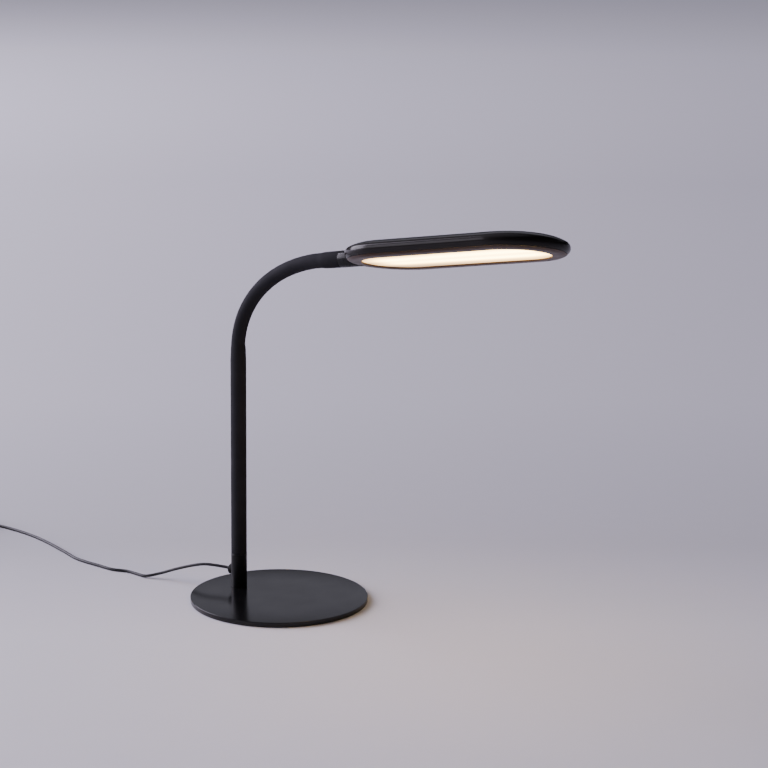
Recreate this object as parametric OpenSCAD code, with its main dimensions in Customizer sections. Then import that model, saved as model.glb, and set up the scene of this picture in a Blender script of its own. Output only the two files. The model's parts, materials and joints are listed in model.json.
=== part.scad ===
// Gooseneck LED desk lamp: a round plate foot, a turned stem, an upright and a
// gooseneck under one sleeve, and a long flat light head that swivels on the neck.
// Millimetres, +Z up. The origin is the centre of the foot, on the table, and +X
// points from the stem towards the free end of the head.

/* [Foot] */
// Diameter of the foot plate
foot_d = 180; // [150:1:220]
// Thickness of the foot plate
foot_t = 4.8; // [4:0.1:8]
// Radius of the plate's rounded edges
foot_edge_r = 0.6; // [0.2:0.1:1.2]
// Distance from the plate's centre to the stem
stem_offset = 51.5; // [35:0.5:65]
// Distance from the plate's edge to the pad's edge
pad_margin = 5; // [3:0.5:12]
// Thickness of the non-slip pad
pad_t = 1.2; // [0.9:0.1:1.8]
// How far the pad stands out below the plate
pad_proud = 0.4; // [0.2:0.1:0.6]

/* [Stem] */
// Diameter of the stem
stem_d = 16.3; // [15:0.1:20]
// Height of the stem above the plate
stem_h = 35.8; // [31:0.2:45]
// Height of the cord's exit above the plate
exit_h = 17; // [14.5:0.5:18]
// Diameter of the screw that holds the stem
screw_d = 6; // [4:0.5:7]
// Depth of the screw's thread in the stem
screw_depth = 7; // [5:0.5:7.5]
// Diameter of the screw's flat head
screw_head_d = 13; // [11:0.5:16]
// Thickness of the screw's flat head
screw_head_t = 1.8; // [1.2:0.1:2.2]
// Diameter of the dowel that stops the stem from turning
dowel_d = 2; // [1.5:0.1:2.2]
// Length of the dowel
dowel_l = 4.4; // [3.6:0.2:5.6]

/* [Upright and gooseneck] */
// Height of the straight part above the plate
upright_h = 250.2; // [180:0.2:320]
// Outer diameter of the upright tube
tube_d = 12.2; // [11.8:0.1:13]
// Wall of the upright tube
tube_wall = 1.1; // [0.8:0.1:1.4]
// Length of the bent part, along its centre line
neck_len = 164; // [150:1:190]
// Angle that the neck turns through at rest
neck_bend = 80.6; // [50:0.1:100]
// How much the bend eases off towards the head, from 0, even, to 1
neck_easing = 0.68; // [0:0.01:0.9]
// Outer diameter of the wound gooseneck
coil_d = 10.4; // [9.8:0.1:10.8]
// Diameter of the gooseneck's wire
wire_d = 2; // [1.6:0.1:2.4]
// Diameter of the channel through the gooseneck
channel_d = 5; // [4:0.1:5.4]
// Wall of the rubber sleeve
sleeve_wall = 1.75; // [1.4:0.05:2]
// Growth of the sleeve's radius along the neck, towards the head
sleeve_swell = 0.3; // [0:0.05:0.4]
// Growth of the sleeve's radius over the collar's spigot
sleeve_cuff = 0.2; // [0:0.05:0.3]
// Length of the sleeve's slight taper below the tube's end
sleeve_taper = 13; // [8:0.5:20]
// Length of the sleeve's step past the tube's end
sleeve_step = 6.5; // [5:0.5:8]

/* [Head] */
// Overall length of the head
head_l = 234.2; // [200:0.2:280]
// Overall width of the head
head_w = 106.8; // [102:0.2:116]
// Overall thickness of the head
head_t = 18; // [17.4:0.1:20]
// Height of the head's widest line above its underside
side_h = 7.6; // [7:0.1:8.4]
// Radius of the head's rounded side
side_r = 5.8; // [5:0.1:6.4]
// Width of the flat on top
top_flat = 60; // [50:1:66]
// Width of the flat underneath
bottom_flat = 88; // [86:0.5:91]
// Height of the seam between the shell and the bezel
seam_h = 2.1; // [1.9:0.1:2.4]
// Wall of the shell
shell_wall = 1.8; // [1.4:0.1:2.2]
// Width of the lit opening
window_w = 73.5; // [60:0.5:74]
// Thickness of the bezel's rim under the diffuser
rim_t = 1.9; // [1.7:0.1:2]
// Thickness of the diffuser's flange
diffuser_t = 1.3; // [1:0.1:1.6]
// How far the diffuser's face lies inside the bezel's face
diffuser_recess = 1.4; // [1:0.1:1.6]
// Distance from the end of the neck's bend to the head
head_gap = 32.9; // [30:0.1:45]
// Height of the neck's axis above the head's underside
axis_h = 7.9; // [7.6:0.1:8.4]
// Turn of the head about the neck's axis at rest
head_roll = 15.6; // [-30:0.1:30]

/* [Neck collar] */
// Diameter of the collar
collar_d = 16.7; // [16:0.1:17]
// Depth of the collar in the head
collar_depth = 9.4; // [8.5:0.1:10]
// Length of the sleeve past the end of the bend
sleeve_over = 17; // [14:0.1:19]
// Diameter of the collar's spigot in the sleeve
spigot_d = 12.4; // [12:0.1:12.6]
// Diameter of the collar's shaft in the head
swivel_d = 7.6; // [7.2:0.1:7.8]

/* [Lights] */
// Number of rows of light chips
led_rows = 3; // [2:1:3]
// Number of chips in a row
led_count = 14; // [8:1:16]
// Distance between rows
led_row_pitch = 20; // [18:0.5:22]
// Distance from the lit opening's end to the first chip
led_margin = 20; // [18:0.5:40]
// Width of a row's board
led_board_w = 10; // [6:0.5:12]
// Height of the tray that holds the boards, above the head's underside
tray_h = 8; // [7.5:0.1:8.4]

/* [Power button] */
// Diameter of the button
button_d = 11.7; // [8:0.1:12]
// Distance from the head's neck end to the button
button_inset = 29.4; // [29.4:0.2:36]
// Travel of the button
button_travel = 0.5; // [0.3:0.05:0.6]
// How far the button stands out of the shell
button_proud = 0.3; // [0.1:0.1:0.6]

/* [Cord and plug] */
// Diameter of the cord
cord_d = 3; // [2.6:0.1:3.4]
// Diameter of the grommet's flange
grommet_d = 10.6; // [8:0.2:11]
// Thickness of the grommet's flange
grommet_t = 2.9; // [1.6:0.1:3]
// Length of the plug's case
plug_l = 64; // [50:1:80]
// Depth of the plug's case, along its pins
plug_depth = 30; // [24:1:40]
// Height of the plug's case as it lies
plug_h = 28; // [27:0.5:36]
// Diameter of a plug pin
pin_d = 4; // [3.8:0.1:4.2]
// Length of a plug pin
pin_l = 19; // [15:0.5:20]
// Distance between the pins
pin_pitch = 18.6; // [17:0.1:19]
// Distance from the case's far end to the pins
pin_inset = 18; // [10:1:22]

/* [Fits] */
// Gap on each side of a part that is pushed in
fit = 0.1; // [0.05:0.01:0.15]
// Gap on each side of a part that turns or slides
running = 0.05; // [0.02:0.01:0.08]
// Gap around the ball of each neck link
ball_play = 0.15; // [0.1:0.01:0.2]
// Gap around the collar in the head's wall
collar_gap = 0.2; // [0.1:0.05:0.3]

/* [Hidden] */
$fn = 96;
NECK_JOINTS = 11;
LINKS = [for (k = [1:NECK_JOINTS - 1]) k];

function two(k) = k < 10 ? str("0", k) : str(k);

// Foot and stem
stem_x = -stem_offset;
foot_top = pad_proud + foot_t;
pad_r = foot_d / 2 - pad_margin;
stem_top = foot_top + stem_h;
exit_z = foot_top + exit_h;
lead_bore_d = tube_d - 2 * tube_wall;
lead_turn = lead_bore_d / 2 - 0.6;
tube_seat_z = exit_z + 6;
bore_floor_z = foot_top + screw_depth + 2;
dowel_x = stem_x + (screw_d + stem_d) / 4 + 0.2;
dowel_z = pad_t + screw_head_t + 2 * fit;

// Sleeve and gooseneck, as radii
tube_r = tube_d / 2;
coil_r = coil_d / 2;
sleeve_neck_r = coil_r + fit + sleeve_wall;
sleeve_tube_r = tube_r + fit + sleeve_wall;
sleeve_end_r = spigot_d / 2 + fit + sleeve_wall;
sleeve_knee_r = sleeve_tube_r - 0.35;
function neck_r(k) = sleeve_neck_r + sleeve_swell * k / NECK_JOINTS;
function ball_r(k) = neck_r(k) + 0.25;
bend_z = foot_top + upright_h;
step_end = 4.5;
tube_top = bend_z + step_end - sleeve_step;
ferrule_l = 20;

// Neck. Its tilt from vertical is a quadratic in the length from its start. Piece 0 stands
// on the upright, piece NECK_JOINTS holds the collar, and between them lie equal links.
root_link = 7;
end_link = 16;
link_pitch = (neck_len - root_link - end_link) / (NECK_JOINTS - 1);
function tilt(s) =
    neck_bend * (s - neck_easing * s * s / (2 * neck_len)) / (neck_len * (1 - neck_easing / 2));
// Start of the collar's spigot, from the last joint
spigot_z = end_link - 6.5;
flare_l = 8.5;
stub_l = 18;
stub_end = spigot_z - end_link + stub_l;
function link_l(k) = k == 0 ? root_link : k == NECK_JOINTS ? end_link : link_pitch;
function link_tilt(k) =
    k == 0 ? 0 : k == NECK_JOINTS ? neck_bend : tilt(root_link + (k - 0.5) * link_pitch);
function link_start(k) = k == 0 ? [stem_x, 0, bend_z]
    : link_start(k - 1) + link_l(k - 1) * [sin(link_tilt(k - 1)), 0, cos(link_tilt(k - 1))];
neck_end = link_start(NECK_JOINTS + 1);

// Head outline across its width: x is the distance from the centre line, y the height
head_half = (head_l - head_w) / 2;
side_c = [head_w / 2 - side_r, side_h];
top_rise = head_t - side_h;
top_run = side_c[0] - top_flat / 2;
top_r = (top_run * top_run + top_rise * top_rise - side_r * side_r) / (2 * (top_rise - side_r));
top_c = [top_flat / 2, head_t - top_r];
low_run = side_c[0] - bottom_flat / 2;
low_r = (low_run * low_run + side_h * side_h - side_r * side_r) / (2 * (side_h - side_r));
low_c = [bottom_flat / 2, low_r];
top_a = atan2(top_r - top_rise, top_run);
low_a = atan2(side_h - low_r, low_run);

function arc(c, r, a0, a1, n) =
    [for (i = [0:n]) let (a = a0 + (a1 - a0) * i / n) c + r * [cos(a), sin(a)]];
function but_first(v) = [for (i = [1:len(v) - 1]) v[i]];
function head_outline(inset) = concat(
    [[0, head_t - inset]],
    arc(top_c, top_r - inset, 90, top_a, 5),
    but_first(arc(side_c, side_r - inset, top_a, low_a, 10)),
    but_first(arc(low_c, low_r - inset, low_a, -90, 5)),
    [[0, inset]]);

// Head details
head_end = head_l / 2;
head_reach = head_gap + head_end;
window_r = window_w / 2;
ledge_r = window_r + 2.1;
bezel_r = bottom_flat / 2 + sqrt(pow(low_r - shell_wall, 2) - pow(low_r - seam_h, 2));
lip_r = bezel_r - 2 * fit;
lip_w = 1.4;
lip_h = 3;
diffuser_top = rim_t + diffuser_t;
tray_t = 1;
tray_wall = 1.1;
tray_r = ledge_r - 0.4;
boss_r = 2.5;
boss_at = tray_r + 0.4 + boss_r;
flange_r = boss_at + boss_r;
boss_us = [for (i = [-1:1]) i * (head_half - 14)];
tray_screw_r = 1.2;
led_pitch = 2 * (head_half + window_r - led_margin) / (led_count - 1);
pocket_end = head_end - collar_depth;
neck_boss_end = pocket_end - 3;
neck_boss_r = 10;
neck_boss_floor = rim_t + fit;
swivel_r = swivel_d / 2;
bush_wall = 0.8;
bush_r = swivel_r + running + bush_wall;
bush_flange_t = 0.8;
clip_t = 0.7;
clip_at = neck_boss_end - bush_flange_t - fit;
clip_seat_r = swivel_r - 0.5;
shaft_end = clip_at - clip_t - 0.4;
clear_of_neck = shaft_end - 0.4;
board_t = 1.6;
board_gap = 1.4;
board_floor = tray_h + tray_t + board_gap;
board_top = board_floor + board_t;
button_at = head_end - button_inset;
board_us = [button_at - 30, button_at + 8];
board_w = 26;
shell_ceiling = head_t - shell_wall;
button_flange_t = 0.6;
button_floor = shell_ceiling - fit - button_flange_t;
button_flange_r = button_d / 2 + 1.3;

// Cord. The route is the centre line of the lead from the stem to the coil.
cord_r = cord_d / 2;
wind_pitch = cord_d + 0.1;
wind_r = 17.7;
wind_columns = 3;
wind_layers = 4;
wind_c = [-446, 4];
plug_x = -467;
boot_l = 16;
boot_bore_l = 13;
boot_y = -24;
route = [
    [stem_x - lead_turn, 0, exit_z], [-63.5, 0, exit_z], [-67.5, -0.2, exit_z + 0.4], [-72, -1, 22.7],
    [-80, -3, 23], [-93, -6, 22.6], [-107, -9, 19.2], [-126, -13, 12.8], [-143, -16, 6.1],
    [-157, -22.7, 2.2], [-170, -21.4, 1.6], [-186, -19.9, 1.6], [-202, -24.5, 1.6],
    [-222, -22.4, 1.6], [-241, -20.7, 1.6], [-261, -16.6, 1.6], [-281, -7.9, 1.6],
    [-300, -0.1, 1.6], [-318, 7, 1.6], [-338, 14, 1.6], [-360, 20, 1.6], [-382, 24, 1.6],
    [-404, 26, 1.6], [-420, 25.4, 1.6], [-434.6, 25, 1.6]];
tail_route = [
    [-467, -7.5, 11], [-467, -12, 11.6], [-467, -18, 13.2], [-467, -24, 14],
    [-467, boot_y - boot_bore_l, 14]];

// A smooth curve through points, with a ring of the tube at each of its stations
function curve_point(p, i, t) = let (
    n = len(p) - 1,
    a = p[max(i - 1, 0)], b = p[i], c = p[min(i + 1, n)], d = p[min(i + 2, n)])
    0.5 * (2 * b + t * (c - a) + t * t * (2 * a - 5 * b + 4 * c - d)
        + t * t * t * (3 * b - a - 3 * c + d));
function smooth(p, k) = concat(
    [for (i = [0:len(p) - 2], j = [0:k - 1]) curve_point(p, i, j / k)], [p[len(p) - 1]]);
function unit(v) = v / norm(v);
function heading(p, i) = unit(p[min(i + 1, len(p) - 1)] - p[max(i - 1, 0)]);
function ring(c, t, r, n) = let (s = unit(cross([0, 0, 1], t)), u = cross(t, s))
    [for (k = [0:n - 1]) c + r * (cos(360 * k / n) * s + sin(360 * k / n) * u)];

module swept_tube(path, r, sides = 8) {
    last = len(path) - 1;
    points = [for (i = [0:last]) each ring(path[i], heading(path, i), r, sides)];
    side_faces = [for (i = [0:last - 1], k = [0:sides - 1]) let (m = (k + 1) % sides)
        [i * sides + k, (i + 1) * sides + k, (i + 1) * sides + m, i * sides + m]];
    ends = [[for (k = [0:sides - 1]) k], [for (k = [sides - 1:-1:0]) last * sides + k]];
    polyhedron(points, concat(side_faces, ends));
}

function rounded(w, h, r) = concat(
    arc([w / 2 - r, h / 2 - r], r, 0, 90, 5), arc([r - w / 2, h / 2 - r], r, 90, 180, 5),
    arc([r - w / 2, r - h / 2], r, 180, 270, 5), arc([w / 2 - r, r - h / 2], r, 270, 360, 5));

// ---- places ----

module at_stem() translate([stem_x, 0, 0]) children();

// Neck piece k, from its first joint, with +Z along it
module at_link(k) translate(link_start(k)) rotate([0, link_tilt(k), 0]) children();

// The straight end of the neck, with +Z towards the head
module at_neck_end() translate(neck_end) rotate([0, neck_bend, 0]) children();

// The head: x along it, y across, z up from its underside
module in_head()
    translate(neck_end) rotate([0, neck_bend - 90, 0]) translate([head_reach, 0, 0])
        rotate([-head_roll, 0, 0]) translate([0, 0, -axis_h]) children();

// The neck's axis seen from the head, with +Z towards the neck
module on_neck_axis() translate([0, 0, axis_h]) rotate([0, -90, 0]) children();

// Sweeps a section around the head's centre line. The section lies at x >= 0.
module around_head() {
    for (end = [-1, 1]) translate([end * head_half, 0, 0])
        rotate([0, 0, -90 * end]) rotate_extrude(angle = 180) children();
    rotate([90, 0, 90]) translate([0, 0, -head_half]) linear_extrude(2 * head_half) {
        children();
        mirror([1, 0]) children();
    }
}

// ---- foot and stem ----

module foot_plate() color([0.09, 0.09, 0.1]) difference() {
    translate([0, 0, pad_proud]) rotate_extrude() polygon(concat(
        [[0, 0]],
        arc([foot_d / 2 - foot_edge_r, foot_edge_r], foot_edge_r, -90, 0, 4),
        arc([foot_d / 2 - foot_edge_r, foot_t - foot_edge_r], foot_edge_r, 0, 90, 4),
        [[0, foot_t]]));
    cylinder(r = pad_r + fit, h = pad_t);
    at_stem() {
        cylinder(d = screw_d + 4 * fit, h = 2 * foot_top);
        cylinder(d = screw_head_d + 8 * fit, h = pad_t + screw_head_t + fit);
    }
    translate([dowel_x, 0, 0]) cylinder(d = dowel_d + 2 * fit, h = 2 * foot_top);
}

module foot_pad() color([0.06, 0.06, 0.06]) cylinder(r = pad_r, h = pad_t);

module stem_screw() color([0.6, 0.6, 0.62]) at_stem() translate([0, 0, pad_t + fit]) {
    difference() {
        cylinder(d = screw_head_d, h = screw_head_t);
        cylinder(d = 4, h = screw_head_t / 2, $fn = 6);
    }
    translate([0, 0, 0.75 * screw_head_t])
        cylinder(d = screw_d, h = foot_top + screw_depth - pad_t - 0.75 * screw_head_t - 2 * fit);
}

module stem_dowel() color([0.7, 0.7, 0.72])
    translate([dowel_x, 0, dowel_z]) cylinder(d = dowel_d, h = dowel_l);

module stem() color([0.08, 0.08, 0.09]) difference() {
    at_stem() rotate_extrude() polygon([
        [0, foot_top], [stem_d / 2 - 0.2, foot_top], [stem_d / 2, foot_top + 0.2],
        [stem_d / 2, stem_top - 0.3], [stem_d / 2 - 0.3, stem_top], [0, stem_top]]);
    at_stem() {
        translate([0, 0, foot_top - 1]) cylinder(d = screw_d + 2 * fit, h = screw_depth + 1);
        translate([0, 0, bore_floor_z]) cylinder(d = lead_bore_d, h = stem_h);
        translate([0, 0, tube_seat_z]) cylinder(d = tube_d + 2 * fit, h = stem_h);
        translate([0, 0, exit_z]) rotate([0, -90, 0]) cylinder(d = 2 * cord_d, h = stem_d);
    }
    translate([dowel_x, 0, dowel_z]) cylinder(d = dowel_d + 2 * fit, h = dowel_l + fit);
}

module cord_grommet() color([0.05, 0.05, 0.05])
    at_stem() translate([0, 0, exit_z]) rotate([0, -90, 0]) difference() {
        union() {
            difference() {
                rotate_extrude() polygon([
                    [0, 0], [grommet_d / 2, 0], [grommet_d / 2, stem_d / 2 + grommet_t - 1.3],
                    [grommet_d / 2 - 0.4, stem_d / 2 + grommet_t - 0.4],
                    [grommet_d / 2 - 1.3, stem_d / 2 + grommet_t], [0, stem_d / 2 + grommet_t]]);
                rotate([0, 90, 0]) cylinder(d = stem_d, h = 2 * grommet_d, center = true);
            }
            translate([0, 0, lead_bore_d / 2]) cylinder(r = cord_d - fit, h = stem_d / 4);
        }
        cylinder(r = cord_r + fit, h = stem_d);
    }

module upright_tube() color([0.5, 0.5, 0.52]) at_stem() difference() {
    translate([0, 0, tube_seat_z]) cylinder(d = tube_d, h = tube_top - tube_seat_z);
    translate([0, 0, tube_seat_z - 1]) cylinder(d = lead_bore_d, h = tube_top);
}

// The lead turns up behind the grommet and runs inside the upright
module inner_lead() color([0.1, 0.1, 0.1]) at_stem() translate([0, 0, exit_z + lead_turn]) {
    translate([-lead_turn, 0, 0]) rotate([-90, 0, 0])
        rotate_extrude(angle = 90) translate([lead_turn, 0]) circle(r = cord_r);
    cylinder(r = cord_r, h = tube_top - exit_z - lead_turn);
}

// ---- gooseneck and sleeve ----

// The space of the ball that neck piece k starts around
module ball_space(k) circle(r = ball_r(k - 1) + ball_play);

// Half section of neck piece k between two radii, from the last ball to its own ball
module link_section(k, r_in, r_out) difference() {
    union() {
        translate([r_in, 0]) square([r_out - r_in, link_l(k)]);
        if (k < NECK_JOINTS) intersection() {
            translate([0, link_l(k)]) circle(r = ball_r(k));
            translate([r_in, link_l(k) / 2]) square([r_out - r_in, 2 * ball_r(k)]);
        }
    }
    if (k > 0) ball_space(k);
}

// Wire turns between two heights, in half section
module windings(low, high)
    for (z = [low:wire_d:high]) translate([coil_r - wire_d / 2, z]) circle(d = wire_d);

module gooseneck(k) color([0.45, 0.45, 0.47]) at_link(k) rotate_extrude() {
    channel_r = channel_d / 2;
    core_r = coil_r - 0.3 * wire_d;
    last_turn = link_l(k) + 4.5;
    link_section(k, channel_r, core_r);
    if (k == 0) {
        windings(tube_top - bend_z + fit + wire_d / 2, last_turn);
        translate([channel_r, tube_top - bend_z + fit]) square([core_r - channel_r, bend_z - tube_top]);
        translate([channel_r, tube_top - bend_z - ferrule_l])
            square([(lead_bore_d - channel_d) / 2 - fit, ferrule_l + 1]);
    } else if (k < NECK_JOINTS) {
        windings(ball_r(k) + 0.2, last_turn);
    } else {
        windings(ball_r(k) + 0.2, spigot_z - fit - wire_d / 2);
        translate([channel_r, spigot_z - 1])
            square([(lead_bore_d - channel_d) / 2 - fit, stub_l]);
    }
}

// One length of sleeve between two balls
module sleeve(k) color([0.07, 0.07, 0.075])
    at_link(k) rotate_extrude() link_section(k, coil_r + fit, neck_r(k));

// The long sleeve over the upright, which narrows where the tube ends
module sleeve_lower() color([0.07, 0.07, 0.075]) at_link(0) rotate_extrude() {
    low = stem_top - bend_z;
    tube_end = tube_top - bend_z + fit;
    link_section(0, coil_r + fit, sleeve_neck_r);
    polygon([
        [tube_r + fit, low], [sleeve_tube_r - 0.3, low], [sleeve_tube_r, low + 0.3],
        [sleeve_tube_r, tube_end - sleeve_taper], [sleeve_knee_r, tube_end],
        [sleeve_neck_r, step_end], [coil_r + fit, step_end], [coil_r + fit, tube_end],
        [tube_r + fit, tube_end]]);
}

// The end of the sleeve, stretched over the collar's spigot
module sleeve_upper() color([0.07, 0.07, 0.075]) at_link(NECK_JOINTS) rotate_extrude() difference() {
    narrow_r = neck_r(NECK_JOINTS);
    cuff_r = sleeve_end_r + sleeve_cuff;
    end = end_link + sleeve_over;
    polygon([
        [coil_r + fit, 0], [narrow_r, 0], [narrow_r, spigot_z - flare_l / 3],
        [sleeve_end_r, spigot_z + 2 * flare_l / 3], [cuff_r, end - 0.3], [cuff_r - 0.3, end],
        [spigot_d / 2 + fit, end],
        [spigot_d / 2 + fit, spigot_z - fit], [coil_r + fit, spigot_z - fit]]);
    ball_space(NECK_JOINTS);
}

// ---- neck collar and swivel ----

module neck_collar() color([0.03, 0.03, 0.03]) {
    shoulder = sleeve_over + fit;
    face = head_reach - pocket_end - collar_gap;
    groove = head_reach - clip_at;
    tip = head_reach - shaft_end;
    at_neck_end() rotate_extrude() polygon([
        [lead_bore_d / 2, spigot_z - end_link], [spigot_d / 2, spigot_z - end_link],
        [spigot_d / 2, shoulder], [collar_d / 2 - 0.2, shoulder], [collar_d / 2, shoulder + 0.2],
        [collar_d / 2, face], [swivel_r, face], [swivel_r, groove - fit],
        [clip_seat_r, groove - fit], [clip_seat_r, groove + clip_t + fit],
        [swivel_r, groove + clip_t + fit], [swivel_r, tip], [channel_d / 2, tip],
        [channel_d / 2, stub_end], [lead_bore_d / 2, stub_end]]);
}

module swivel_clip() color([0.7, 0.7, 0.72])
    in_head() on_neck_axis() translate([0, 0, clip_at - clip_t]) difference() {
        cylinder(r = bush_r + 0.8, h = clip_t);
        cylinder(r = clip_seat_r + running, h = 3 * clip_t, center = true);
        translate([0, -1.2, -clip_t]) cube([2 * bush_r, 2.4, 3 * clip_t]);
    }

module swivel_bush() color([0.85, 0.85, 0.8]) in_head() on_neck_axis() difference() {
    union() {
        translate([0, 0, neck_boss_end - bush_flange_t]) {
            cylinder(r = bush_r, h = bush_flange_t + pocket_end - neck_boss_end);
            cylinder(r = bush_r + 0.9, h = bush_flange_t);
        }
    }
    translate([0, 0, clip_at - 1]) cylinder(r = swivel_r + running, h = 2 * collar_depth);
}

// ---- head ----

// The hole that the collar turns in
module collar_pocket() on_neck_axis() translate([0, 0, pocket_end])
    cylinder(d = collar_d + 2 * collar_gap, h = 3 * collar_depth);

module head_shell() color([0.02, 0.02, 0.02]) in_head() difference() {
    union() {
        around_head() difference() {
            polygon(head_outline(0));
            polygon(head_outline(shell_wall));
            square([head_w, seam_h]);
        }
        intersection() {
            around_head() difference() {
                polygon(head_outline(shell_wall / 2));
                square([head_w, neck_boss_floor]);
            }
            on_neck_axis() translate([0, 0, neck_boss_end])
                cylinder(r = neck_boss_r, h = 3 * collar_depth);
        }
    }
    collar_pocket();
    on_neck_axis() translate([0, 0, neck_boss_end - 1])
        cylinder(r = bush_r + running, h = collar_depth);
    translate([-button_at, 0, 0]) cylinder(d = button_d + 0.4, h = 2 * head_t);
}

module head_bezel() color([0.06, 0.06, 0.06]) in_head() difference() {
    union() {
        around_head() {
            difference() {
                polygon(head_outline(0));
                translate([0, seam_h]) square([head_w, head_t]);
                square([window_r, head_t]);
                translate([0, rim_t]) square([ledge_r, head_t]);
            }
            translate([lip_r - lip_w, seam_h - 0.5]) square([lip_w, lip_h + 0.5]);
        }
        for (u = boss_us, side = [-1, 1]) translate([u, side * boss_at, rim_t])
            cylinder(r = boss_r, h = tray_h - rim_t);
    }
    for (u = boss_us, side = [-1, 1]) translate([u, side * boss_at, seam_h])
        cylinder(r = tray_screw_r + fit, h = tray_h);
    collar_pocket();
    intersection() {
        on_neck_axis() translate([0, 0, clear_of_neck])
            cylinder(r = neck_boss_r + fit, h = 3 * collar_depth);
        translate([-2 * head_end, -head_w / 2, rim_t]) cube([2 * head_end, head_w, head_t]);
    }
}

module diffuser() color([1, 0.95, 0.85]) in_head() {
    flange = ledge_r - 2 * fit;
    face = window_r - fit;
    around_head() polygon([
        [0, diffuser_recess], [face, diffuser_recess], [face, rim_t],
        [flange, rim_t], [flange, diffuser_top], [0, diffuser_top]]);
}

module led_tray() color([0.9, 0.9, 0.9]) in_head() difference() {
    union() {
        around_head() polygon([
            [0, tray_h], [tray_r - tray_wall, tray_h], [tray_r - tray_wall, diffuser_top],
            [tray_r, diffuser_top], [tray_r, tray_h], [flange_r, tray_h],
            [flange_r, tray_h + tray_t], [0, tray_h + tray_t]]);
        for (u = [board_us[0] + 3, board_us[1] - 3], side = [-1, 1])
            translate([-u, side * (board_w / 2 - 3), tray_h + tray_t / 2])
                cylinder(r = 1.6, h = tray_t / 2 + board_gap);
    }
    for (u = boss_us, side = [-1, 1]) translate([u, side * boss_at, tray_h - 1])
        cylinder(r = tray_screw_r + 2 * fit, h = tray_t + 2);
    translate([-2 * head_end, -neck_boss_r - 2, tray_h - 1])
        cube([2 * head_end - clear_of_neck, 2 * neck_boss_r + 4, 2 + tray_t]);
}

module led_boards() color([0.95, 0.95, 0.92]) in_head()
    for (row = [0:led_rows - 1]) translate([0, (row - (led_rows - 1) / 2) * led_row_pitch, tray_h - 1])
        translate([-(led_count * led_pitch) / 2, -led_board_w / 2, 0])
            cube([led_count * led_pitch, led_board_w, 1]);

module led_chips() color([1, 0.9, 0.5]) in_head()
    for (row = [0:led_rows - 1], i = [0:led_count - 1])
        translate([(i - (led_count - 1) / 2) * led_pitch,
            (row - (led_rows - 1) / 2) * led_row_pitch, tray_h - 1.4])
            cube([3.5, 2.8, 0.8], center = true);

module tray_screws() color([0.7, 0.7, 0.72]) in_head()
    for (u = boss_us, side = [-1, 1]) translate([u, side * boss_at, tray_h + tray_t]) {
        cylinder(r = 2 * tray_screw_r, h = 1.2);
        translate([0, 0, -tray_t - 4]) cylinder(r = tray_screw_r, h = tray_t + 4.6);
    }

module driver_board() color([0.1, 0.35, 0.2]) in_head()
    translate([-board_us[1], -board_w / 2, board_floor])
        cube([board_us[1] - board_us[0], board_w, board_t]);

// Two capacitors and two chips, between the board's near end and the button's switch
module driver_parts() color([0.2, 0.2, 0.22]) in_head() translate([0, 0, board_top])
    for (side = [-1, 1]) {
        translate([-board_us[0] - 8, side * board_w / 4, 0]) cylinder(r = 3, h = 2.6);
        translate([-board_us[0] - 17, side * board_w / 4, 0.6]) cube([5, 5, 1.2], center = true);
    }

module button_switch() color([0.3, 0.3, 0.3]) in_head() translate([-button_at, 0, board_top]) {
    translate([-3, -3, 0]) cube([6, 6, button_floor - board_top - button_travel - 0.7]);
    cylinder(r = 1.7, h = button_floor - board_top - button_travel - fit);
}

module power_button() color([0.12, 0.12, 0.12]) in_head() translate([-button_at, 0, button_floor])
    rotate_extrude() polygon([
        [0, 0], [button_flange_r, 0], [button_flange_r, button_flange_t],
        [button_d / 2, button_flange_t], [button_d / 2, head_t + button_proud - button_floor - 0.3],
        [button_d / 2 - 0.3, head_t + button_proud - button_floor],
        [0, head_t + button_proud - button_floor]]);

// ---- cord and plug ----

module cord() color([0.05, 0.05, 0.05]) swept_tube(smooth(route, 2), cord_r);

module cord_tail() color([0.05, 0.05, 0.05]) swept_tube(smooth(tail_route, 2), cord_r);

module cord_coil() color([0.05, 0.05, 0.05]) {
    half_w = wind_columns * wind_pitch / 2;
    height = wind_layers * wind_pitch;
    translate(wind_c) rotate_extrude() polygon([
        [wind_r - half_w, 1], [wind_r - half_w + 1, 0], [wind_r + half_w - 1, 0],
        [wind_r + half_w, 1], [wind_r + half_w, height - 1], [wind_r + half_w - 1, height],
        [wind_r - half_w + 1, height], [wind_r - half_w, height - 1]]);
}

module plug_case() color([0.06, 0.06, 0.06]) {
    far = boot_y - boot_l;
    translate([plug_x, far - plug_l, plug_h / 2]) rotate([-90, 0, 0])
        linear_extrude(plug_l) polygon(rounded(plug_depth, plug_h, 4));
}

module plug_pins() color([0.75, 0.75, 0.76])
    for (side = [-1, 1])
        translate([plug_x - plug_depth / 2, boot_y - boot_l - plug_l + pin_inset,
            plug_h / 2 + side * pin_pitch / 2]) rotate([0, -90, 0]) rotate_extrude() polygon([
                [0, 0], [pin_d / 2, 0], [pin_d / 2, pin_l - 1], [pin_d / 2 - 0.8, pin_l],
                [0, pin_l]]);

module plug_boot() color([0.05, 0.05, 0.05]) translate([plug_x, boot_y, plug_h / 2])
    rotate([90, 0, 0]) difference() {
        cylinder(r1 = cord_r + 0.8, r2 = cord_r + 2.6, h = boot_l);
        translate([0, 0, -1]) cylinder(r = cord_r + fit, h = boot_bore_l + 1);
    }

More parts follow.
